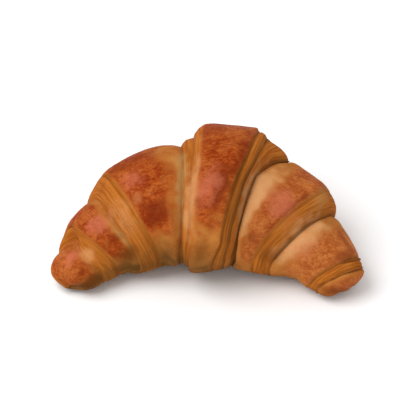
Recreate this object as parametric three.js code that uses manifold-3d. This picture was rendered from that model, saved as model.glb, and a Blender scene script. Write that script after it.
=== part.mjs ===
// A butter croissant, baked as one solid loaf: a sheet of dough rolled up from its wide end into turns that
// step down towards two horns, bent into a crescent whose horns point to -Y. It lies on its flat base.
//
// Frame: millimetres, +Z up, X from horn to horn. The origin is under the middle of the loaf, on its base.

import * as THREE from 'three';
import { LoftGeometry } from 'three/addons/geometries/LoftGeometry.js';
import { mergeVertices } from 'three/addons/utils/BufferGeometryUtils.js';
import Module from 'manifold-3d';

// ---- Driving dimensions, in millimetres and degrees ----
const CROWN_PLACE = 4; // of the crown on the roll's axis, from the middle of the bend towards the right horn
const CROWN_WIDTH = 80.5; // across the outermost turn at the crown, square to the axis
const CROWN_LEAN = 6; // how far that section is turned in plan, its near side going to the left
const CROWN_SWELL = 0.7; // how far the outermost turn bulges between its two lips, each side
const ROUNDNESS = 0.794; // height of every section over its width, before its underside is pressed flat
const PRESSED_SHARE = 0.057; // of that height, the share that is pressed flat

// Each side of the loaf. `bend` is the radius of the arc that the axis follows there, seen from above. The
// turns go from the outermost one out to the horn. A turn comes into sight at the foot of the one before, and
// ends in a lip, where its cut edge starts. The cut face slopes down from there to its foot, on the next turn.
//   body      from the foot of the turn before, or from the crown, to the lip, along the axis
//   swell     how far it bulges there, each side
//   width     across the lip, square to the axis
//   lipLean   turn of the lip in plan from square to the axis, the near side going towards the crown
//   face      length of the cut face, along the axis
//   step      how far the cut face goes in, each side: the thickness of the dough that ends there
//   footLean  the same as lipLean, for the foot
//   ledge     where the cut face has a second edge: its share of the face's length, and of the step
const RIGHT = {
  bend: 82,
  turns: [
    { body: 12.6, swell: CROWN_SWELL, width: CROWN_WIDTH, lipLean: 3, face: 9.8, step: 7.9, footLean: 9,
      ledge: [0.59, 0.42] },
    { body: 22, swell: 0.8, width: 57.2, lipLean: 8, face: 6.7, step: 6.6, footLean: 13 },
    { body: 21, swell: 0.8, width: 28.4, lipLean: 6, face: 5.6, step: 2.3, footLean: 2 },
  ],
  horn: 5.2, // from the last foot to the very tip, along the axis
  tilt: 28, // how far the horn's sections lean outwards at their top
};
const LEFT = {
  bend: 69,
  turns: [
    { body: 3.4, swell: CROWN_SWELL, width: CROWN_WIDTH, lipLean: -6.5, face: 6.4, step: 7.8, footLean: -8,
      ledge: [0.53, 0.6] },
    { body: 27.3, swell: 2.8, width: 56.6, lipLean: 3, face: 11.2, step: 6.6, footLean: 2 },
    { body: 12.4, swell: 1.4, width: 35.6, lipLean: 6, face: 8.3, step: 4.6, footLean: 0 },
  ],
  horn: 12,
  tilt: 18,
};
const HORN_BLUNTNESS = 0.6; // power of the cosine that a horn closes by: 1 is a half ellipse, less is blunter
const HORN_EYE = 0.45; // height of a horn's very tip, over that of the middle of its last foot

// How finely the surface is divided.
const COLUMNS = 44; // points round a section
const BODY_ROWS = 5; // sections along each turn
const FACE_ROWS = 4; // sections down each cut face
const HORN_ROWS = 7; // sections along each horn
const TIP_SHARE = 0.05; // of the last foot's width, what is left at the very tip

const { lerp, degToRad } = THREE.MathUtils;

// Height of the middle of a section over the base, from its half-width.
const restHeight = (half) => half * ROUNDNESS * (1 - 2 * PRESSED_SHARE);

// How much of its step a cut face has gone in at a share of its length.
function stepShare(share, ledge) {
  if (!ledge) {
    return share ** 1.3;
  }
  const [place, depth] = ledge;
  return share < place ? depth * (share / place) ** 1.2 : lerp(depth, 1, (share - place) / (1 - place));
}

// One side of the loaf, as a list of sections from the crown to the tip. `along` is the distance on the axis
// from the middle of the bend, `half` the half-width, `rise` the height of the middle, and `lean` the turn in
// plan.
function sectionsOf({ turns, horn }, side) {
  const sections = [];
  let along = side * CROWN_PLACE;
  let half = CROWN_WIDTH / 2;
  let lean = side * CROWN_LEAN;
  const add = (place, size, turned) => {
    sections.push({ along: place, half: size, rise: restHeight(size), lean: turned });
  };
  turns.forEach(({ body, swell, width, lipLean, face, step, footLean, ledge }, index) => {
    const lip = along + body;
    for (let row = 0; row < BODY_ROWS; row++) {
      const share = row / BODY_ROWS;
      // The outermost turn is fullest at the crown, and the others half-way between their foot and lip.
      const bulge = swell * (index ? Math.sin(share * Math.PI) : Math.cos((share * Math.PI) / 2));
      add(lerp(along, lip, share), lerp(half, width / 2, share) + bulge, lerp(lean, lipLean, share));
    }
    for (let row = 0; row < FACE_ROWS; row++) {
      const share = row / FACE_ROWS;
      add(lip + face * share, width / 2 - step * stepShare(share, ledge), lerp(lipLean, footLean, share));
    }
    along = lip + face;
    half = width / 2 - step;
    lean = footLean;
  });
  for (let row = 0; row <= HORN_ROWS; row++) {
    const angle = ((row / HORN_ROWS) * Math.PI) / 2;
    const left = Math.max(Math.cos(angle) ** HORN_BLUNTNESS, TIP_SHARE);
    const rise = restHeight(half) * lerp(HORN_EYE, 1, left);
    sections.push({ along: along + horn * Math.sin(angle), half: half * left, rise, lean });
  }
  return sections;
}

// The rings of points round each section, where side is 1 for the right of the crown and -1 for the left.
function ringsOf(half, side) {
  const sections = sectionsOf(half, side);
  const reach = sections.at(-1).along;
  return sections.map((section) => {
    const place = side * section.along;
    const radius = (place < 0 ? LEFT : RIGHT).bend;
    const bend = place / radius;
    const yaw = bend + side * degToRad(section.lean);
    const pitch = (side * degToRad(half.tilt) * section.along) / reach;
    const centre = new THREE.Vector3(radius * Math.sin(bend), radius * (Math.cos(bend) - 1), section.rise);
    const onward = new THREE.Vector3(Math.cos(yaw), -Math.sin(yaw), 0);
    const back = new THREE.Vector3(Math.sin(yaw), Math.cos(yaw), 0).multiplyScalar(section.half);
    const up = new THREE.Vector3(0, 0, Math.cos(pitch)).addScaledVector(onward, Math.sin(pitch));
    up.multiplyScalar(section.half * ROUNDNESS);
    return Array.from({ length: COLUMNS }, (_, column) => {
      const angle = (column / COLUMNS) * 2 * Math.PI;
      return centre.clone().addScaledVector(back, Math.cos(angle)).addScaledVector(up, Math.sin(angle));
    });
  });
}

// Both sides start with the same ring at the crown, which is kept once.
const rings = [...ringsOf(LEFT, -1).reverse(), ...ringsOf(RIGHT, 1).slice(1)];
const roll = new LoftGeometry(rings, { capStart: true, capEnd: true });

// ---- The flat base: what hangs below the tray is cut away ----
const wasm = await Module();
wasm.setup();

function solidOf(geometry) {
  const bare = new THREE.BufferGeometry();
  bare.setAttribute('position', geometry.getAttribute('position'));
  bare.setIndex(geometry.getIndex());
  const merged = mergeVertices(bare, 1e-4);
  return new wasm.Manifold(new wasm.Mesh({
    numProp: 3,
    vertProperties: new Float32Array(merged.getAttribute('position').array),
    triVerts: new Uint32Array(merged.getIndex().array),
  }));
}

function geometryOf(solid) {
  const { vertProperties, triVerts } = solid.getMesh();
  const geometry = new THREE.BufferGeometry();
  geometry.setAttribute('position', new THREE.BufferAttribute(vertProperties, 3));
  geometry.setIndex(new THREE.BufferAttribute(triVerts, 1));
  geometry.computeVertexNormals();
  return geometry;
}

function pressedFlat(geometry) {
  geometry.computeBoundingBox();
  const size = geometry.boundingBox.getSize(new THREE.Vector3());
  const middle = geometry.boundingBox.getCenter(new THREE.Vector3());
  const tray = new THREE.BoxGeometry(2 * size.x, 2 * size.y, size.z);
  tray.translate(middle.x, middle.y, -size.z / 2);
  return geometryOf(solidOf(geometry).subtract(solidOf(tray)));
}

// Moves the middle of the loaf's base to the origin.
function centred(geometry) {
  geometry.computeBoundingBox();
  const middle = geometry.boundingBox.getCenter(new THREE.Vector3());
  return geometry.translate(-middle.x, -middle.y, -geometry.boundingBox.min.z);
}

// ---- The part ----
const crust = new THREE.MeshStandardMaterial({ color: 0xb4682f, roughness: 0.55, metalness: 0 });
const croissant = new THREE.Mesh(centred(pressedFlat(roll)), crust);
croissant.name = 'croissant';

const part = new THREE.Group();
part.add(croissant);

export default part;
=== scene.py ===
import math
from collections import namedtuple

import bmesh
import bpy
import numpy as np
from mathutils import Matrix, Vector, noise


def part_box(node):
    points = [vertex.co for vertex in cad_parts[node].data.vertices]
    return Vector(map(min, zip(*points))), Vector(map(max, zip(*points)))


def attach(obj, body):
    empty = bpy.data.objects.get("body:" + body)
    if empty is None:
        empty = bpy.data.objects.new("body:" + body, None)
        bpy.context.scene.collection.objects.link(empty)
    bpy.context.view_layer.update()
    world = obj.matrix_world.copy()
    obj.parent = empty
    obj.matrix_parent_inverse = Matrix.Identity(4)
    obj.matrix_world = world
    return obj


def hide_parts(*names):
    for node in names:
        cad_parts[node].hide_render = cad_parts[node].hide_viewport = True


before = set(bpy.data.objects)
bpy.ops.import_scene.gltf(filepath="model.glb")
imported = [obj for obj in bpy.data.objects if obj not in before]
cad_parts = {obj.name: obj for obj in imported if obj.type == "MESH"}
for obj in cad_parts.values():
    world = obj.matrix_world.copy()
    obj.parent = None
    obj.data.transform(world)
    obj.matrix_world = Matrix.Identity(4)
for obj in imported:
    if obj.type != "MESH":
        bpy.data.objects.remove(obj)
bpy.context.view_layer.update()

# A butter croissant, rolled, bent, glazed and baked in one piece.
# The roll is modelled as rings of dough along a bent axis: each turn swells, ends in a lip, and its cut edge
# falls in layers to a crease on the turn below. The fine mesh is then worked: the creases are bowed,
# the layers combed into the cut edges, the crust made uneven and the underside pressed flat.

low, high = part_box("croissant")

LENGTH = 149.8  # of the croissant from horn to horn, in its own millimetres
MM = (high.x - low.x) / LENGTH  # one of those millimetres, in metres

# ---- The roll, in its own millimetres and degrees ----
CROWN_WIDTH = 80.5  # across the outermost turn at the middle of the loaf
CROWN_LEAN = 6.0  # how far that section is turned in plan
CROWN_AT = 4.0  # its place on the axis, from the middle of the bend towards the right horn
ROUNDNESS = 0.794  # height of a section over its width, before it is pressed flat
PRESSED_SHARE = 0.057  # of that height, what is pressed flat
COLUMNS = 40  # points round a ring of the cage
BODY_STEP = 2.5  # between the cage's rings on a turn's crust
ROW_STEP = 0.72  # between the cage's rings on a cut edge
LAYER_ROWS = 3  # rings on each layer of a cut edge, at the least
HORN_ROWS = 8
ROW_CROWDING = 1.35  # power by which a turn's rings crowd towards the crease that it comes out of
LIP_ROUNDING = 1.0  # how far behind its lip a turn's crust starts to round over
TIP_SHARE = 0.06  # of the last foot's width, what is left at a horn's very tip
CRUST_FULLNESS = 0.75  # power of the sine that a turn swells by: less is fuller beside its crease and lip
LAYER_FULLNESS = 0.8  # the same for the rounding of a layer
GROOVE_FADE = 9  # a crease's groove is gone at one part in this many of the crust that follows it
FULL_GROOVE = 1.2  # depth of a crease that is shaded in full
UNDER_REACH = 3.0  # how far above a crease its layer is shaded
CUT_AT_LIP, CUT_GROWTH = 0.1, 0.7  # how much of a cut edge shows at its lip, and for each millimetre down it

# One side's turns, from the crown out to the horn.
#   body, width, lean   length of the crust up to the lip, and the lip's width and turn in plan
#   layers              the cut edge, as (length, drop, bulge, groove) for each layer of dough
#   foot                the turn in plan of the crease that the cut edge ends in
#   swell               how far the crust bulges between crease and lip
Turn = namedtuple("Turn", "body width lean layers foot swell")
Side = namedtuple("Side", "bend turns horn tilt blunt eye")
RIGHT = Side(
    bend=82.0,
    turns=(
        Turn(12.6, 82.0, 3.0, ((1.2, 0.9, 0.1, 0.8), (4.6, 2.4, 0.8, 1.1), (4.0, 4.6, 1.2, 1.6)), 9.0, 0.6),
        Turn(22.0, 57.2, 8.0, ((1.0, 0.3, 0.1, 0.5), (5.7, 6.3, 1.4, 1.3)), 13.0, 0.8),
        Turn(21.0, 28.4, 6.0, ((1.2, 0.3, 0.1, 0.9), (4.4, 2.0, 0.6, 0.6)), 2.0, 0.8),
    ),
    horn=5.2, tilt=28.0, blunt=0.5, eye=0.5,
)
LEFT = Side(
    bend=69.0,
    turns=(
        Turn(3.4, 80.5, -6.5, ((3.0, 4.4, 0.6, 0.3), (3.4, 3.4, 1.1, 0.3)), -8.0, 0.6),
        Turn(27.3, 56.6, 3.0, ((2.2, 0.6, 0.2, 0.4), (9.0, 6.0, 1.2, 0.2)), 2.0, 2.8),
        Turn(12.4, 35.6, 6.0, ((1.5, 0.4, 0.1, 0.35), (6.8, 4.2, 0.8, 0.2)), 0.0, 1.4),
    ),
    horn=12.0, tilt=18.0, blunt=0.62, eye=0.5,
)

# How far the lips and creases are pulled along the roll, in millimetres: at a place on the axis, and at
# these angles round the section, from the back over the top (90) to the front (180) and low down.
PULLED_AT = (46, 62, 90, 120, 140, 165, 190)
PULLS = {
    -77.0: (1.9, 1.9, 1.9, 1.9, 1.9, 1.9, 1.9),
    -65.0: (8.4, 7.6, 3.4, 1.0, 0.4, 0.5, 0.5),
    -56.7: (4.0, 3.2, 0.8, 0, 0, 0.5, 1.0),
    -44.3: (4.6, 4.0, 1.0, 0, 0, 0.5, 1.0),
    -33.1: (1.0, 1.0, 0.6, 0, 0, 1.0, 2.0),
    -5.8: (-1.8, -0.7, 0.9, 1.5, 1.7, 1.4, 0.8),
    0.6: (0.4, 1.4, 2.7, 2.7, 3.6, 4.0, 2.6),
    16.6: (4.8, 5.2, 5.2, 3.4, 3.4, 4.6, 2.0),
    22.4: (-1.0, 0.0, 2.2, 3.6, 5.0, 7.4, 8.0),
    26.4: (7.0, 2.4, -0.6, 2.6, 4.8, 7.4, 8.6),
    48.4: (0, 0, -0.3, -0.5, -0.8, -1.2, -1.0),
    55.1: (-0.8, -0.2, 0, 1.6, 2.2, 2.4, 2.4),
    76.1: (0, 0, 0, 0, 0, 0, 0),
    82.0: (2.2, 2.2, 1.6, 0.8, 0.3, -0.2, -0.6),
    87.0: (0.6, 0.6, 0.6, 0.6, 0.6, 0.6, 0.6),
}
# How far the front bellies out low down, in millimetres, by the place on the axis.
BELLIES = {
    -66: 0.8, -52: 0.8, -45: 3.4, -38: 1.8, -28: -0.8, -7: -1.2, -3: -1.0, -0.5: 0.6, 4: 0.6, 12: -0.2,
    16: -1.4, 24: -2.4, 34: 0.0, 44: 1.2, 56: 3.4, 64: 0.8, 70: 0.0, 76: 2.4,
}
BELLY_AT, BELLY_REACH = 200, 34  # the angle round the section where they are whole, and how far they reach
BELLY_FADE = (3, 11)  # half-widths of the roll where they are gone and whole
# Swellings and hollows: place on the axis, angle round the section, reach of each, and height in
# millimetres.
SWELLINGS = (
    (-34, 58, 5, 24, 2.6), (-57, 56, 4, 26, 2.0), (-74, 165, 8, 50, 1.0), (-66, 58, 5, 30, -1.6),
    (16.6, 84, 2.8, 34, -1.1), (22.5, 56, 4, 22, 2.8),
    (48, 58, 5, 28, 1.4), (64, 58, 6, 30, -1.0), (77, 66, 6, 40, 1.8),
    (82, 110, 6, 60, 0.8),
)
SWELLING_FADE = (2, 9)
# The creases between the outermost turn's layers close up towards the back: at an angle round the section,
# with a reach, by so many millimetres, beyond a place on the axis.
CLOSED_AT, CLOSED_REACH, CLOSED_BY, CLOSED_FROM = 48, 20, 0.8, 10
# The right horn opens out a little: from and to a place on the axis, by a shift in millimetres.
OPENINGS = ((50, 85, (0.9, 1.6, 0.0)), (66, 78, (0.6, 0.4, 0.0)))

# Relief of the crust, as (scale, height) in millimetres.
BIG_LUMPS, SMALL_LUMPS, RIPPLES = (17, 0.55), (6.5, 0.16), (2.4, 0.05)
# Strands of the cut edges: (scale, height) of the coarse and fine ones, the width of one, the length round
# the roll as a radius in the same unit, and what is left of their height on the right of the outermost turn.
COARSE_STRANDS, FINE_STRANDS = (1.6, 0.10), (0.8, 0.04)
STRAND_WIDTH, STRAND_ROUND, STRANDS_CALMED = 0.75, 1.8, 0.6
TURNS_APART = 5  # keeps one turn's strands from being a copy of the next one's
TRAY_EDGE = 1.6  # how softly the edge of the pressed underside rounds

CROWN_TURN = 3  # the number of the outermost turn, counted from the left horn, which is 0
# What is known of a ring: its place on the axis, half-width, height and turn, and what its dough is.
#   turn    0 to 6 from the left horn to the right one
#   share   of the turn's crust passed, 0 at its crease and 1 at its lip; -1 to 1 over the outermost turn
#   cut     1 on a cut edge
#   down    millimetres passed down the cut edge
#   crease  1 at the bottom of a crease
#   under   up to 1 on the last millimetres of a layer above a crease, where painted shade goes
Ring = namedtuple("Ring", "along bend half rise lean pitch turn share cut down crease under")


def rest_height(half):
    """Height of a section's middle over the tray, from its half-width."""
    return half * ROUNDNESS * (1 - 2 * PRESSED_SHARE)


def side_rings(side, sign):
    """The rings of one side, from the crown out, where sign is 1 for the right and -1 for the left."""
    rings = []
    reach = sign * CROWN_AT + sum(t.body + sum(layer[0] for layer in t.layers) for t in side.turns)
    reach += side.horn

    def add(along, half, lean, turn, share, cut=0.0, down=0.0, crease=0.0, under=0.0, rise=None):
        pitch = sign * side.tilt * along / reach
        rise = rest_height(half) if rise is None else rise
        bend = (LEFT if sign * along < 0 else RIGHT).bend
        rings.append(Ring(sign * along, bend, half, rise, sign * lean, pitch, turn, share, cut, down,
                          crease, under))

    along, half, lean = CROWN_AT * sign, CROWN_WIDTH / 2, sign * CROWN_LEAN
    for index, turn in enumerate(side.turns):
        number = CROWN_TURN + sign * index
        lip = along + turn.body
        rows = max(1, round(turn.body / BODY_STEP))
        groove = side.turns[index - 1].layers[-1][3] if index else 0.0
        shares = [row / rows for row in range(rows)]
        if turn.body > 3 * LIP_ROUNDING:
            shares.append(1 - LIP_ROUNDING / turn.body)
        for part in shares:
            # Under the lip above, the crust comes up out of its crease in a quick shoulder.
            part = part ** ROW_CROWDING if index else part
            bulge = math.sin(part * math.pi) ** CRUST_FULLNESS if index else math.cos(part * math.pi / 2)
            size = half + (turn.width / 2 - half) * part + turn.swell * bulge
            size -= groove * max(0, 1 - part * GROOVE_FADE)
            share = part if index else sign * part
            add(along + turn.body * part, size, lean + (turn.lean - lean) * part, number, share,
                crease=min(1.0, groove / FULL_GROOVE) if part == 0 else 0.0)
        lip_half = turn.width / 2
        length = sum(layer[0] for layer in turn.layers)
        passed, dropped, down = 0.0, 0.0, 0.0
        last = 0.0
        for step, drop, bulge, groove in turn.layers:
            start = (passed, dropped + last)
            end = (passed + step, dropped + drop + groove)
            run = math.hypot(end[0] - start[0], end[1] - start[1])
            rows = max(LAYER_ROWS, round(run / ROW_STEP))
            for row in range(rows):
                part = row / rows
                out = bulge * math.sin(part * math.pi) ** LAYER_FULLNESS
                place = start[0] + (end[0] - start[0]) * part + out * (end[1] - start[1]) / run
                depth = start[1] + (end[1] - start[1]) * part - out * (end[0] - start[0]) / run
                add(lip + place, lip_half - depth, turn.lean + (turn.foot - turn.lean) * place / length,
                    number, 1.0 if index else sign * 1.0,
                    cut=min(1.0, (down + run * part) * CUT_GROWTH + CUT_AT_LIP), down=down + run * part,
                    crease=min(1.0, last / FULL_GROOVE) if row == 0 else 0.0,
                    under=max(0.0, 1 - run * (1 - part) / UNDER_REACH) * min(1.0, groove / FULL_GROOVE))
            down += run
            passed += step
            dropped += drop
            last = groove
        along, half, lean = lip + length, lip_half - dropped, turn.foot
    foot_half = half
    for row in range(HORN_ROWS + 1):
        part = row / HORN_ROWS
        angle = part * math.pi / 2
        left = max(math.cos(angle) ** side.blunt, TIP_SHARE)
        groove = side.turns[-1].layers[-1][3] if row == 0 else 0.0
        rise = rest_height(foot_half) * (side.eye + (1 - side.eye) * left)
        add(along + side.horn * math.sin(angle), foot_half * left - groove, lean, CROWN_TURN + sign * 3, part,
            crease=min(1.0, groove / FULL_GROOVE), rise=rise)
    return rings


def all_rings():
    """Every ring from the left tip to the right one; both sides share the ring at the crown."""
    return side_rings(LEFT, -1)[::-1] + side_rings(RIGHT, 1)[1:]


def ring_place(ring):
    """The centre of a ring in metres, and its turn about the vertical and outward lean in radians."""
    turned = ring.along / ring.bend
    yaw = turned + math.radians(ring.lean)
    centre = Vector((ring.bend * math.sin(turned), ring.bend * (math.cos(turned) - 1), ring.rise)) * MM
    return centre, yaw, math.radians(ring.pitch)


# ---- Modelling the cage ----
def turn_ring(angle, axis, centre):
    """Turns what is selected right-handed about an axis through centre; the operator turns the other way."""
    if abs(angle) > 1e-7:
        bpy.ops.transform.rotate(value=-angle, orient_axis=axis, orient_type="GLOBAL", center_override=centre)


def roll_cage(rings):
    """Extrudes a circle along the roll, ring by ring, and closes both tips."""
    bpy.ops.object.select_all(action="DESELECT")
    centre, yaw, pitch = ring_place(rings[0])
    half = rings[0].half * MM
    # Standing across +X: its first point to the back and a quarter turn on to the top.
    bpy.ops.mesh.primitive_circle_add(vertices=COLUMNS, radius=1.0, fill_type="NOTHING")
    cage = bpy.context.object
    cage.name = "croissant_loaf"
    stand = Matrix(((0, 0, 1), (1, 0, 0), (0, 1, 0))).to_4x4()
    cage.data.transform(stand)
    for name in ("row", "back", "top"):
        cage.data.attributes.new(name, "FLOAT", "POINT")
    points = [v.co.copy() for v in cage.data.vertices]
    cage.data.attributes["back"].data.foreach_set("value", [p.y for p in points])
    cage.data.attributes["top"].data.foreach_set("value", [p.z for p in points])
    bpy.ops.object.mode_set(mode="EDIT")
    bpy.ops.mesh.select_all(action="SELECT")
    bpy.ops.transform.resize(value=(1, half, half * ROUNDNESS), center_override=(0, 0, 0))
    bpy.ops.transform.translate(value=centre)
    turn_ring(pitch, "Y", centre)
    turn_ring(-yaw, "Z", centre)
    for row, ring in enumerate(rings[1:], 1):
        onward, new_yaw, new_pitch = ring_place(ring)
        bpy.ops.mesh.extrude_region_move(TRANSFORM_OT_translate={"value": onward - centre})
        turn_ring(yaw, "Z", onward)
        turn_ring(new_pitch - pitch, "Y", onward)
        turn_ring(-new_yaw, "Z", onward)
        size = ring.half * MM / half
        bpy.ops.transform.resize(value=(size, size, size), center_override=onward)
        mesh = bmesh.from_edit_mesh(cage.data)
        layer = mesh.verts.layers.float["row"]
        for vert in mesh.verts:
            if vert.select:
                vert[layer] = row
        centre, yaw, pitch, half = onward, new_yaw, new_pitch, ring.half * MM
    # Both open ends are closed with a face.
    bpy.ops.mesh.select_all(action="DESELECT")
    bpy.ops.mesh.select_mode(type="EDGE")
    bpy.ops.mesh.select_non_manifold()
    bpy.ops.mesh.edge_face_add()
    bpy.ops.mesh.select_all(action="SELECT")
    bpy.ops.mesh.normals_make_consistent(inside=False)
    bpy.ops.mesh.select_mode(type="VERT")
    bpy.ops.object.mode_set(mode="OBJECT")
    return cage


def subdivided(piece, levels):
    smooth = piece.modifiers.new("fine", "SUBSURF")
    smooth.levels = smooth.render_levels = levels
    bpy.ops.object.modifier_apply(modifier=smooth.name)


# ---- Working the fine mesh ----
SEED_STEP = 17.31  # how far apart two seeds take their noise
NOISE_GAIN = 1.6  # brings the noise to about -1 to 1


def read(mesh, name):
    values = np.zeros(len(mesh.vertices), np.float32)
    mesh.attributes[name].data.foreach_get("value", values)
    return values.astype(float)


def write(mesh, name, values):
    attribute = mesh.attributes.get(name) or mesh.attributes.new(name, "FLOAT", "POINT")
    attribute.data.foreach_set("value", values.astype(np.float32))


def points_of(mesh):
    flat = np.zeros(len(mesh.vertices) * 3)
    mesh.vertices.foreach_get("co", flat)
    return flat.reshape(-1, 3)


def place_points(mesh, points):
    mesh.vertices.foreach_set("co", points.ravel())
    mesh.update()


def normals_of(mesh):
    flat = np.zeros(len(mesh.vertices) * 3)
    mesh.vertices.foreach_get("normal", flat)
    return flat.reshape(-1, 3)


def smooth(start, end, values):
    part = np.clip((values - start) / (end - start), 0, 1)
    return part * part * (3 - 2 * part)


def bump_at(centre, width, values):
    return np.exp(-((values - centre) / width) ** 2)


def grain(points, scale, seed=0.0):
    """Smooth noise from about -1 to 1, at a scale in millimetres, from points in millimetres."""
    shift = seed * SEED_STEP
    values = [noise.noise((p[0] + shift, p[1] - shift, p[2] + 2 * shift)) for p in points / scale]
    return np.array(values) * NOISE_GAIN


def relief(points, form, seed):
    """Noise with a form of (scale, height)."""
    scale, height = form
    return grain(points, scale, seed) * height


def work(piece, rings):
    """Gives the fine mesh the bows, layers, unevenness and flat base of a loaf, and its crust's masks."""
    mesh = piece.data
    row = read(mesh, "row")
    around = np.degrees(np.arctan2(read(mesh, "top"), read(mesh, "back"))) % 360
    known = {name: np.array([getattr(r, name) for r in rings], float) for name in Ring._fields}
    at = {name: np.interp(row, np.arange(len(rings)), values) for name, values in known.items()}
    points = points_of(mesh) / MM
    turned = at["along"] / at["bend"]
    onward = np.stack([np.cos(turned), -np.sin(turned), 0 * turned], 1)

    # The lips and creases don't run straight round the roll.
    columns = np.array([np.interp(at["along"], list(PULLS), column) for column in zip(*PULLS.values())])
    knots = np.array((0,) + PULLED_AT + (270,))
    columns = np.vstack([0 * columns[:1], columns, 0 * columns[:1]])
    low_knot = np.clip(np.searchsorted(knots, around, side="right") - 1, 0, len(knots) - 2)
    part = np.clip((around - knots[low_knot]) / (knots[low_knot + 1] - knots[low_knot]), 0, 1)
    each = np.arange(len(around))
    pull = columns[low_knot, each] * (1 - part) + columns[low_knot + 1, each] * part
    points = points + onward * pull[:, None]
    layered = (at["turn"] == CROWN_TURN) & (at["along"] > CLOSED_FROM)
    closed = at["crease"] * bump_at(CLOSED_AT, CLOSED_REACH, around) * layered
    points = points + normals_of(mesh) * (CLOSED_BY * closed)[:, None]
    for start, end, shift in OPENINGS:
        points = points + np.outer(smooth(start, end, at["along"]), shift)
    # Bellies, swellings and hollows go square to the crust.
    belly = np.interp(at["along"], list(BELLIES), list(BELLIES.values()))
    belly *= bump_at(BELLY_AT, BELLY_REACH, around) * smooth(*BELLY_FADE, at["half"])
    for along, middle, reach, spread, swelling in SWELLINGS:
        away = ((at["along"] - along) / reach) ** 2 + ((around - middle) / spread) ** 2
        belly += swelling * np.exp(-away) * smooth(*SWELLING_FADE, at["half"])
    points = points + normals_of(mesh) * belly[:, None]
    place_points(mesh, points * MM)

    # Lamination: fine ridges that run round the cut edges and fade and merge here and there.
    circle = np.stack([np.cos(np.radians(around)), np.sin(np.radians(around))], 1) * STRAND_ROUND
    strand = np.column_stack([at["down"] / STRAND_WIDTH, circle + at["turn"][:, None] * TURNS_APART])
    layers = at["cut"] * (relief(strand, COARSE_STRANDS, 1) + relief(strand, FINE_STRANDS, 2))
    layers *= np.where(layered, STRANDS_CALMED, 1.0)
    # Unevenness of the baked crust.
    lumps = relief(points, BIG_LUMPS, 3) + relief(points, SMALL_LUMPS, 4)
    ripple = relief(points, RIPPLES, 5) * (1 - at["cut"])
    points = points + normals_of(mesh) * (layers + lumps + ripple)[:, None]

    # The underside was pressed on the tray while it was soft.
    z = points[:, 2]
    points[:, 2] = (z + np.sqrt(z * z + TRAY_EDGE * TRAY_EDGE)) / 2
    points[:, 2] -= points[:, 2].min()
    place_points(mesh, points * MM)
    paint(mesh, at, around, points)


# Where the egg wash took on each turn, from the left horn to the right one.
#   start, full   share of the crust, from its crease to its lip, where it begins and where it is whole
#   front         angle round the section, from the back over the top, where it ends in front
#   tone          how dark it baked
Wash = namedtuple("Wash", "start full front tone")
WASHES = (
    Wash(-0.2, 0.3, 200, 0.8), Wash(0.0, 0.5, 168, 0.9), Wash(0.0, 0.55, 154, 1.0),
    Wash(-2.0, -1.0, 152, 1.0),
    Wash(0.15, 0.60, 174, 0.66), Wash(0.10, 0.60, 186, 0.5), Wash(-0.2, 0.6, 200, 0.6),
)
FRONT_FADE = 14  # degrees each side of that angle over which the wash ends
BACK_FADE = (-8, 22)  # angles at the back between which it begins
# How uneven the edges of the bake are: the scales of the broad and the close unevenness in millimetres, and
# what each adds to a share of the crust, an angle and the place of a patch's edge.
BROAD, CLOSE = 13, 4.5
UNEVEN_SHARE, UNEVEN_ANGLE, UNEVEN_PATCH = (0.10, 0.08), (7, 6), (0.15, 0.22)
PATCH_EDGE = (0.15, 1.15)  # of a patch's reach, where it is whole and where it ends
# Painted shade on the lower crust: the angle in front where it starts, what that gains for each millimetre
# along the axis, how far on it is whole, and its unevenness. Then the heights over the tray between which the
# painted shade by the tray ends, how strong and how uneven that is, and what a cut edge is spared.
LOW_FROM, LOW_SLOPE, LOW_SPREAD, LOW_UNEVEN = 156, 0.42, 54, 5
FOOT_HEIGHTS, FOOT_STRENGTH, FOOT_UNEVEN, CUT_SPARED = (0.5, 9), 0.8, 1.5, 0.3
LOW_BACK, UNDER_BACK = 330, 270  # angles at the back where the low crust ends, and where the underside does
# Patches of colour, listed one by one: place on the axis, angle round the section, reach of each, strength.
# The pink ones are a painted highlight, the pale ones pale dough and a painted highlight, and the dark brown
# ones painted shade; the deep ones are darker bake and the olive ones a greyish tan by the creases.
DABS = {
    "painted_highlight": (
        (-69.5, 82, 7, 22, 1.0), (-51, 94, 8, 22, 0.9), (-28.5, 88, 6, 16, 0.8), (6, 122, 7, 22, 0.9),
        (43, 106, 10, 24, 1.0), (64, 122, 10, 30, 0.5),
    ),
    "deep": (
        (-84, 100, 6, 40, 0.5), (-76, 172, 8, 22, 1.0), (-73, 126, 5, 12, 0.7), (-51, 128, 9, 12, 0.7),
        (-25, 130, 12, 20, 0.85), (-29, 62, 16, 14, 0.6), (11, 122, 6, 28, 1.0), (15.5, 92, 3, 50, 0.8),
        (3, 66, 8, 10, 0.5), (14, 82, 5, 6, 0.7),
        (47.6, 104, 2, 50, 0.8), (41, 150, 7, 10, 0.6), (75, 80, 3.5, 40, 0.7), (70, 56, 12, 12, 0.6),
        (88, 150, 6, 30, 0.5),
    ),
    "pale_and_highlight": (
        (-30.2, 107, 3.0, 9, 0.3), (30, 112, 8, 54, 0.9), (58.5, 112, 7, 62, 0.85), (-64.0, 112, 5, 28, 0.5),
        (-2, 128, 5, 44, 0.6), (-40, 110, 6, 36, 0.35), (55, 150, 3, 16, 0.4),
    ),
    "olive": (
        (-7.4, 112, 3.6, 52, 1.0), (-45.5, 130, 2.5, 34, 0.6), (-6.6, 78, 2, 10, 0.9), (51, 66, 4, 20, 0.5),
    ),
    "painted_shade": (
        (21, 130, 9, 60, 0.5), (-73, 167, 10, 24, 1.0), (-50, 158, 9, 20, 0.9),
        (-22, 172, 18, 20, 0.3), (6, 178, 9, 20, 0.6), (-12, 140, 6, 20, 0.3), (86, 165, 8, 20, 0.6),
        (54, 160, 5, 18, 0.5),
    ),
}


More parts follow.
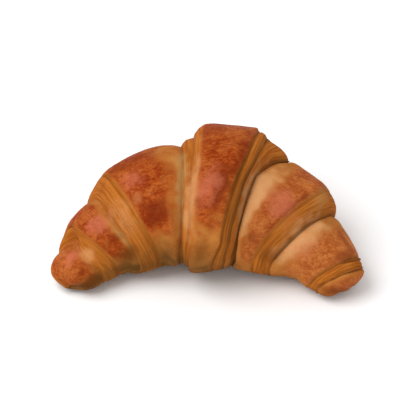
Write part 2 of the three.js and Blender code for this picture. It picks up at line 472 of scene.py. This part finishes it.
def paint(mesh, at, around, points):
    """The crust's masks: how far each spot is glazed, cut or creased, and where the painted highlights and
    painted shade go.
    """
    turn = np.clip(np.rint(at["turn"]), 0, 6).astype(int)
    start, full, front, tone = (np.array([getattr(w, name) for w in WASHES])[turn] for name in Wash._fields)
    broad, close = grain(points, BROAD, 11), grain(points, CLOSE, 12)

    def uneven(values, amounts):
        return values + broad * amounts[0] + close * amounts[1]

    share = np.where(turn == CROWN_TURN, 1.0, np.abs(at["share"]))
    across = smooth(0, 1, (uneven(share, UNEVEN_SHARE) - start) / (full - start))
    angle = uneven(around, UNEVEN_ANGLE)
    over = smooth(*BACK_FADE, angle) * (1 - smooth(front - FRONT_FADE, front + FRONT_FADE, angle))
    over = np.maximum(over, smooth(360 + BACK_FADE[0], 360 + BACK_FADE[1], angle))
    write(mesh, "glaze", over * across * (1 - at["cut"]))
    write(mesh, "tone", tone)
    for name, dabs in DABS.items():
        total = 0 * angle
        for along, middle, reach, spread, strength in dabs:
            away = np.hypot((at["along"] - along) / reach, (around - middle) / spread)
            away = uneven(away, UNEVEN_PATCH)
            total = np.maximum(total, strength * (1 - smooth(*PATCH_EDGE, away)))
        write(mesh, name, total)
    for name in ("cut", "crease", "under", "down", "turn"):
        write(mesh, name, at[name])
    # Painted shade low down, reaching higher up towards the left horn than the right one, and by the tray.
    height = points[:, 2] + broad * FOOT_UNEVEN
    start = LOW_FROM + LOW_SLOPE * at["along"]
    turned = np.where(around > UNDER_BACK, 2 * UNDER_BACK - around, around + close * LOW_UNEVEN)
    shaded_low = smooth(0, 1, (turned - start) / LOW_SPREAD) * (around < LOW_BACK)
    shaded_low = np.maximum(shaded_low, (1 - smooth(*FOOT_HEIGHTS, height)) * FOOT_STRENGTH)
    shaded_low *= 1 - CUT_SPARED * at["cut"]
    write(mesh, "low", np.clip(shaded_low, 0, 1))


# ---- Materials ----
class Value:
    """A socket in a material's nodes, so that shader maths reads as Python."""

    def __init__(self, nodes, socket):
        self.nodes, self.socket = nodes, socket

    def maths(self, operation, first, second=0.0):
        return self.nodes.add("ShaderNodeMath", {"operation": operation}, {0: first, 1: second})

    def __add__(self, other):
        return self.maths("ADD", self, other)

    def __sub__(self, other):
        return self.maths("SUBTRACT", self, other)

    def __mul__(self, other):
        return self.maths("MULTIPLY", self, other)

    def __rsub__(self, other):
        return self.maths("SUBTRACT", other, self)

    def __abs__(self):
        return self.maths("ABSOLUTE", self)

    __radd__ = __add__
    __rmul__ = __mul__


class Nodes:
    """The node tree of one material."""

    def __init__(self, name):
        self.material = bpy.data.materials.new(name)
        self.material.use_nodes = True
        self.tree = self.material.node_tree
        self.tree.nodes.clear()

    def add(self, kind, settings=None, inputs=None, output=0):
        """A node of a kind with its settings, and the values or links of its sockets."""
        node = self.tree.nodes.new(kind)
        for name, value in (settings or {}).items():
            setattr(node, name, value)
        for name, value in (inputs or {}).items():
            socket = node.inputs[name]
            if isinstance(value, Value):
                self.tree.links.new(value.socket, socket)
            else:
                socket.default_value = value
        return Value(self, node.outputs[output]) if node.outputs else None

    def mask(self, name):
        return self.add("ShaderNodeAttribute", {"attribute_name": name}, output=2)

    def mix(self, share, first, second, blend="MIX"):
        settings = {"data_type": "RGBA", "blend_type": blend, "clamp_factor": True}
        return self.add("ShaderNodeMix", settings, {0: share, 6: first, 7: second}, output=2)

    def vector(self, x, y, z):
        return self.add("ShaderNodeCombineXYZ", None, {0: x, 1: y, 2: z})

    def between(self, value, start, end, low=0.0, high=1.0):
        """value taken from start..end to low..high, smoothly."""
        inputs = {"Value": value, "From Min": start, "From Max": end, "To Min": low, "To Max": high}
        return self.add("ShaderNodeMapRange", {"interpolation_type": "SMOOTHSTEP"}, inputs)

    def noise(self, vector, scale, detail=3.0, roughness=0.55, distortion=0.0):
        inputs = {"Vector": vector, "Scale": scale, "Detail": detail, "Roughness": roughness,
                  "Distortion": distortion}
        return self.add("ShaderNodeTexNoise", None, inputs)


def shade(red, green, blue):
    """A colour given as it looks on a screen, from 0 to 255, in the shader's own linear values."""
    def linear(level):
        level /= 255
        return level / 12.92 if level <= 0.04045 else ((level + 0.055) / 1.055) ** 2.4
    return (linear(red), linear(green), linear(blue), 1.0)


DOUGH_LIGHT = shade(182, 116, 54)
DOUGH = shade(162, 94, 36)
EDGE_LIGHT = shade(180, 106, 40)
EDGE_DARK = shade(146, 79, 22)
WASH = shade(128, 42, 8)
WASH_LIGHT = shade(168, 82, 28)
RUSSET = shade(160, 78, 32)
RUSSET_LIGHT = shade(190, 116, 58)
DEEP = shade(108, 34, 9)
# painted pink highlight on the glaze
HIGHLIGHT_PINK = shade(190, 104, 74)
PALE = shade(212, 156, 104)
OLIVE = shade(178, 138, 84)
# painted shade
SHADE_BROWN = shade(98, 52, 14)
FLAKE = shade(206, 134, 74)
# painted shade on the lower crust and by the tray; the darker one also above the creases
LOW_SHADE = shade(118, 78, 34)
DARK_SHADE = shade(84, 58, 26)
# painted shade in the creases
CREASE_SHADE = shade(68, 42, 14)

# How much each layer of colour covers what is under it.
COVER = {
    "pale_and_highlight": 0.85, "deep": 0.85, "painted_highlight": 0.74, "flakes": 0.4, "olive": 0.7, "low": 0.9, "painted_shade": 0.7,
    "specks": 0.3, "under": 0.6, "crease": 0.75,
}
# Scales of the crust's noise, in waves to the metre.
PATCHES, SPECKS, FINE = 110.0, 620.0, 1400.0
STREAKS = (440.0, 640.0, 640.0)  # along the roll and both ways across it
FLAKES_COARSER = 1.3  # the flakes' scale over the streaks'


def crust_material():
    nodes = Nodes("baked_crust")
    place = nodes.add("ShaderNodeTexCoord", output=3)
    glaze, deep, painted_highlight = nodes.mask("glaze"), nodes.mask("deep"), nodes.mask("painted_highlight")
    pale_and_highlight, olive, painted_shade, tone = (nodes.mask(name) for name in ("pale_and_highlight", "olive", "painted_shade", "tone"))
    cut, crease, low_shade = nodes.mask("cut"), nodes.mask("crease"), nodes.mask("low")
    down, turn = nodes.mask("down"), nodes.mask("turn")
    back, top = nodes.mask("back"), nodes.mask("top")

    patches = nodes.noise(place, PATCHES, 4.0, 0.6, 0.3)
    specks = nodes.noise(place, SPECKS, 3.0, 0.6)
    fine = nodes.noise(place, FINE, 2.0)
    # The wash's streaks are short and lie along the roll; the cut layers run round it.
    across = nodes.add("ShaderNodeMapping", None, {"Vector": place, "Scale": STREAKS})
    streaks = nodes.noise(across, 1.0, 5.0, 0.7, 0.6)
    flakes = nodes.between(abs(nodes.noise(across, FLAKES_COARSER, 3.0, 0.6, 0.9) - 0.5), 0.05, 0.0)
    strands = nodes.noise(nodes.vector(down * 1.9 + patches * 1.2, back * 1.5 + turn * 5.0, top * 1.5), 1.0,
                          3.0, 0.55)

    dough = nodes.mix(nodes.between(patches, 0.35, 0.7), DOUGH_LIGHT, DOUGH)
    edge = nodes.mix(nodes.between(strands, 0.34, 0.64), EDGE_DARK, EDGE_LIGHT)
    mottle = nodes.between(streaks * 0.55 + patches * 0.25 + specks * 0.2, 0.40, 0.60)
    red = nodes.mix(nodes.between(tone, 0.4, 1.0), nodes.mix(mottle, RUSSET, RUSSET_LIGHT),
                    nodes.mix(mottle, WASH, WASH_LIGHT))
    broken = (streaks - 0.5) * 0.6 + (specks - 0.5) * 0.4
    colour = nodes.mix(cut, dough, edge)
    colour = nodes.mix(nodes.between(glaze + broken, 0.0, 1.0), colour, red)
    # Pale unwashed dough beside the inner creases, and painted highlight on faces turned to the light.
    colour = nodes.mix(nodes.between(pale_and_highlight - broken * 0.5, 0.0, 1.0) * COVER["pale_and_highlight"], colour, PALE)
    colour = nodes.mix(nodes.between(deep + broken * 0.8, 0.1, 1.1) * COVER["deep"], colour, DEEP)
    # Painted pink highlight on the glaze, broken up by the streaks and specks.
    colour = nodes.mix(nodes.between(painted_highlight + broken * 1.1, 0.0, 1.2) * COVER["painted_highlight"], colour, HIGHLIGHT_PINK)
    # Light flakes break up the washed crust, but not the painted pink highlight, the dark patches or the cut
    # edges.
    calm = 1 - nodes.between(painted_highlight + deep, 0.2, 0.9) * 0.8
    flaked = flakes * nodes.between(patches, 0.42, 0.62) * (1 - cut) * calm
    colour = nodes.mix(flaked * COVER["flakes"], colour, FLAKE)
    colour = nodes.mix(nodes.between(olive, 0.0, 1.0) * COVER["olive"], colour, OLIVE)
    # Painted shade on the lower crust and by the tray, darker in patches.
    low_shade_colour = nodes.mix(nodes.between(patches, 0.4, 0.6), LOW_SHADE, DARK_SHADE)
    colour = nodes.mix(low_shade * COVER["low"], colour, low_shade_colour)
    # Dark brown painted shade on the lower crust and on the right layers of the outermost turn.
    colour = nodes.mix(nodes.between(painted_shade, 0.0, 1.0) * COVER["painted_shade"], colour, SHADE_BROWN)
    colour = nodes.mix(nodes.between(specks, 0.5, 0.75) * COVER["specks"], colour, PALE, "SOFT_LIGHT")
    # Painted shade on the last millimetres of a layer above a crease, and in the crease itself.
    colour = nodes.mix(nodes.between(nodes.mask("under"), 0.0, 1.0) * COVER["under"], colour, DARK_SHADE)
    colour = nodes.mix(crease * COVER["crease"], colour, CREASE_SHADE)

    rough = nodes.between(glaze, 0.0, 1.0, 0.7, 0.5) + (fine - 0.5) * 0.12
    height = streaks * 0.5 + specks * 0.4 + fine * 0.3
    bump = nodes.add("ShaderNodeBump", None, {"Strength": 0.5, "Distance": 0.0005, "Height": height})
    shader = nodes.add("ShaderNodeBsdfPrincipled", None,
                       {"Base Color": colour, "Roughness": rough, "Normal": bump, "Specular IOR Level": 0.02})
    nodes.add("ShaderNodeOutputMaterial", None, {"Surface": shader})
    return nodes.material


def floor_material():
    nodes = Nodes("plain_floor")
    shader = nodes.add("ShaderNodeBsdfPrincipled", None,
                       {"Base Color": (0.97, 0.97, 0.97, 1.0), "Roughness": 0.9, "Specular IOR Level": 0.1})
    nodes.add("ShaderNodeOutputMaterial", None, {"Surface": shader})
    return nodes.material


# ---- The loaf ----
LEVELS = 2  # of subdivision of the cage

rings = all_rings()
loaf = roll_cage(rings)
subdivided(loaf, LEVELS)
work(loaf, rings)
points = points_of(loaf.data)
middle = (points.min(0) + points.max(0)) / 2
points[:, 0] += (low.x + high.x) / 2 - middle[0]
points[:, 1] += (low.y + high.y) / 2 - middle[1]
points[:, 2] += low.z
place_points(loaf.data, points)
bpy.ops.object.shade_smooth()
loaf.data.materials.clear()
loaf.data.materials.append(crust_material())
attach(loaf, "root")
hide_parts("croissant")

# ---- The studio, in metres ----
FLOOR_SIZE = 6.0
FLOOR_GAP = 0.0002  # keeps the floor clear of the underside
ELEVATION = math.radians(44.0)  # of the camera over the floor
DISTANCE = 0.9  # of the camera from the loaf
SPAN = 0.2046  # what the picture is wide, at the loaf
AIM_RIGHT, AIM_DOWN = 1.5, 6.1  # of the loaf's middle, where the camera aims, in millimetres of the picture
FILL = 0.72  # strength of the light from all round

bpy.ops.object.select_all(action="DESELECT")
bpy.ops.mesh.primitive_plane_add(size=FLOOR_SIZE, location=(0, 0, low.z - FLOOR_GAP))
floor = bpy.context.object
floor.name = "floor"
floor.data.materials.append(floor_material())


def softbox(name, direction, distance, size, energy, aim=(0, 0, 0.03)):
    data = bpy.data.lights.new(name, "AREA")
    data.shape = "DISK"
    data.size = size
    data.energy = energy
    lamp = bpy.data.objects.new(name, data)
    bpy.context.scene.collection.objects.link(lamp)
    lamp.location = Vector(aim) + Vector(direction).normalized() * distance
    lamp.rotation_euler = (Vector(aim) - lamp.location).to_track_quat("-Z", "Y").to_euler()
    return lamp


softbox("key", (-0.5, -0.15, 0.85), 1.1, 0.9, 8.5)
world = bpy.data.worlds.new("studio")
world.use_nodes = True
world.node_tree.nodes["Background"].inputs["Color"].default_value = (1.0, 1.0, 1.0, 1.0)
world.node_tree.nodes["Background"].inputs["Strength"].default_value = FILL
bpy.context.scene.world = world
bpy.context.scene.view_settings.view_transform = "Standard"

camera_data = bpy.data.cameras.new("camera")
camera_data.sensor_width = 36.0
camera_data.lens = camera_data.sensor_width * DISTANCE / SPAN
camera = bpy.data.objects.new("camera", camera_data)
bpy.context.scene.collection.objects.link(camera)
screen_up = Vector((0, math.sin(ELEVATION), math.cos(ELEVATION)))
aim = Vector(((low.x + high.x) / 2 + AIM_RIGHT * MM, (low.y + high.y) / 2, (low.z + high.z) / 2))
aim -= AIM_DOWN * MM * screen_up
camera.location = aim + DISTANCE * Vector((0, -math.cos(ELEVATION), math.sin(ELEVATION)))
camera.rotation_euler = (aim - camera.location).to_track_quat("-Z", "Y").to_euler()
bpy.context.scene.camera = camera
